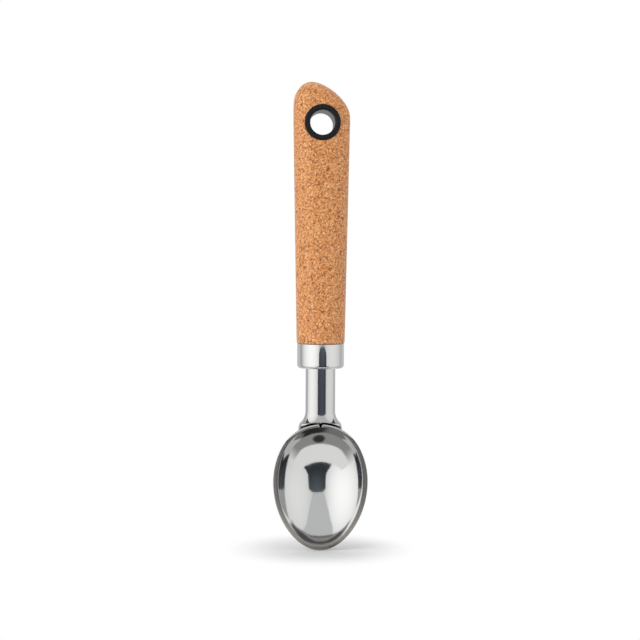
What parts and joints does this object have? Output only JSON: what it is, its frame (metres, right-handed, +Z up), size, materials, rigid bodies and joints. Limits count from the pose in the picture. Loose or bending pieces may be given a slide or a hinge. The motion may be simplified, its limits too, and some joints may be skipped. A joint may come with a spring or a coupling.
{
  "type": "ice cream spoon",
  "caption": "Ice cream spoon with an egg-shaped steel bowl, a hollow flared steel neck, a steel ferrule and a cork grip with a slanted top and a hanging eyelet.",
  "frame": {"origin": "centre of the hanging eyelet's bore, midway between its two flanges, on the grip's axis", "axes": "+Z up along the grip, with the bowl at the bottom; -Y is the open side of the bowl, which faces the viewer; +X is the viewer's right, the low side of the slanted top"},
  "size_m": [0.0428, 0.0216, 0.21],
  "materials": {
    "bowl_steel": "stainless steel, polished inside the bowl, ground flat on the rim",
    "polished_steel": "stainless steel, buffed bright",
    "plain_steel": "plain turned steel, hidden",
    "cork": "fine cork granules pressed with a binder, sanded",
    "black_plastic": "moulded black plastic with a soft shine"
  },
  "bodies": {
    "root": {"bowl": "bowl_steel", "neck": "polished_steel", "anchor": "plain_steel", "tang": "plain_steel", "ferrule": "polished_steel", "grip": "cork", "eyelet_front": "black_plastic", "eyelet_back": "black_plastic"}
  },
  "joints": []
}
